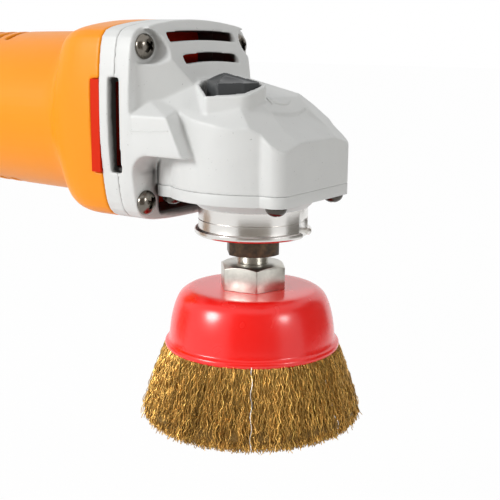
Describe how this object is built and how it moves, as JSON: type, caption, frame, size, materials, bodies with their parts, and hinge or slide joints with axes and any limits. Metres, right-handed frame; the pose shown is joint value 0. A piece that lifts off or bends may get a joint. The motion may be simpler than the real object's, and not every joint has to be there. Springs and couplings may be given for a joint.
{
  "type": "angle grinder",
  "caption": "Corded small angle grinder with a faceted cast gear head, guard collar, lock button, slide switch and a threaded crimped-wire cup brush on its spindle.",
  "frame": {"origin": "on the spindle axis, inside the guard collar's clamping band, 5 mm above the collar's lower face", "axes": "+X along the motor axis to the front of the gear head, +Z along the spindle away from the brush, +Y to the side of the handle thread"},
  "size_m": [0.2819, 0.0848, 0.1456],
  "materials": {
    "housing_plastic": "satin orange moulding",
    "baffle_plastic": "bright red moulding",
    "cast_aluminium": "silver-grey painted die casting",
    "turned_aluminium": "painted casting with a bright turned collar",
    "dark_screws": "dark nickel plate",
    "bearing_steel": "ground steel",
    "spring_steel": "oiled spring steel",
    "felt": "pressed felt",
    "bronze": "sintered bronze",
    "rubber_boot": "moulded rubber",
    "core_steel": "stacked sheets",
    "copper": "enamelled copper",
    "brass": "folded sheet brass",
    "carbon": "pressed carbon",
    "black_plastic": "moulded",
    "button_plastic": "dark grey moulding",
    "pin_steel": "ground pin",
    "spindle_steel": "blackened steel",
    "gear_steel": "hardened gear steel",
    "nut_zinc": "zinc plate",
    "cup_enamel": "glossy red enamel on pressed steel",
    "crimped_wire": "brass-coated crimped steel wire"
  },
  "bodies": {
    "housing": {"motor_housing": "housing_plastic", "fan_baffle": "baffle_plastic", "bearing_plate": "cast_aluminium", "gear_case": "cast_aluminium", "case_screws": "dark_screws", "gear_cover": "turned_aluminium", "cover_screws": "dark_screws", "spindle_bearing_outer": "bearing_steel", "bearing_circlip": "spring_steel", "dust_felt": "felt", "spindle_bush": "bronze", "front_bearing_outer": "bearing_steel", "rear_bearing_outer": "bearing_steel", "bearing_boot": "rubber_boot", "field_core": "core_steel", "field_coils": "copper", "field_screws": "dark_screws", "brush_holders": "brass", "carbon_brushes": "carbon", "brush_springs": "spring_steel", "rear_cover_left": "housing_plastic", "rear_cover_right": "housing_plastic", "rear_cover_screws": "dark_screws", "switch_body": "black_plastic", "cord_inlet": "rubber_boot", "cord_clamp": "black_plastic", "clamp_screws": "dark_screws", "lock_spring": "spring_steel"},
    "spindle": {"spindle": "spindle_steel", "crown_gear": "gear_steel", "gear_circlip": "spring_steel", "spindle_bearing_inner": "bearing_steel", "brush_nut": "nut_zinc", "brush_cup": "cup_enamel", "wire_bundle": "crimped_wire"},
    "armature": {"armature_shaft": "pin_steel", "armature_core": "core_steel", "armature_windings": "copper", "commutator": "copper", "cooling_fan": "black_plastic", "pinion": "gear_steel", "pinion_nut": "gear_steel", "front_bearing_inner": "bearing_steel", "rear_bearing_inner": "bearing_steel"},
    "lock": {"lock_button": "button_plastic", "lock_pin": "pin_steel"},
    "switch": {"switch_slider": "button_plastic", "switch_link": "spring_steel"}
  },
  "joints": [
    {"name": "spindle_spin", "type": "hinge", "parent": "housing", "child": "spindle", "pos_m": [0, 0, 0], "axis": [0, 0, 1], "continuous": true},
    {"name": "armature_spin", "type": "hinge", "parent": "housing", "child": "armature", "pos_m": [-0.09, 0, 0.0348], "axis": [1, 0, 0], "continuous": true},
    {"name": "lock_press", "type": "slide", "parent": "housing", "child": "lock", "axis": [0, 0, -1], "range_m": [0, 0.0036], "stiffness_N_per_m": 600, "springref_m": -0.004, "deforming": ["lock_spring"]},
    {"name": "switch_slide", "type": "slide", "parent": "housing", "child": "switch", "axis": [1, 0, 0], "range_m": [0, 0.008]}
  ],
  "couplings": [
    {"joint": "armature_spin", "follows": "spindle_spin", "ratio": -3.1818}
  ]
}
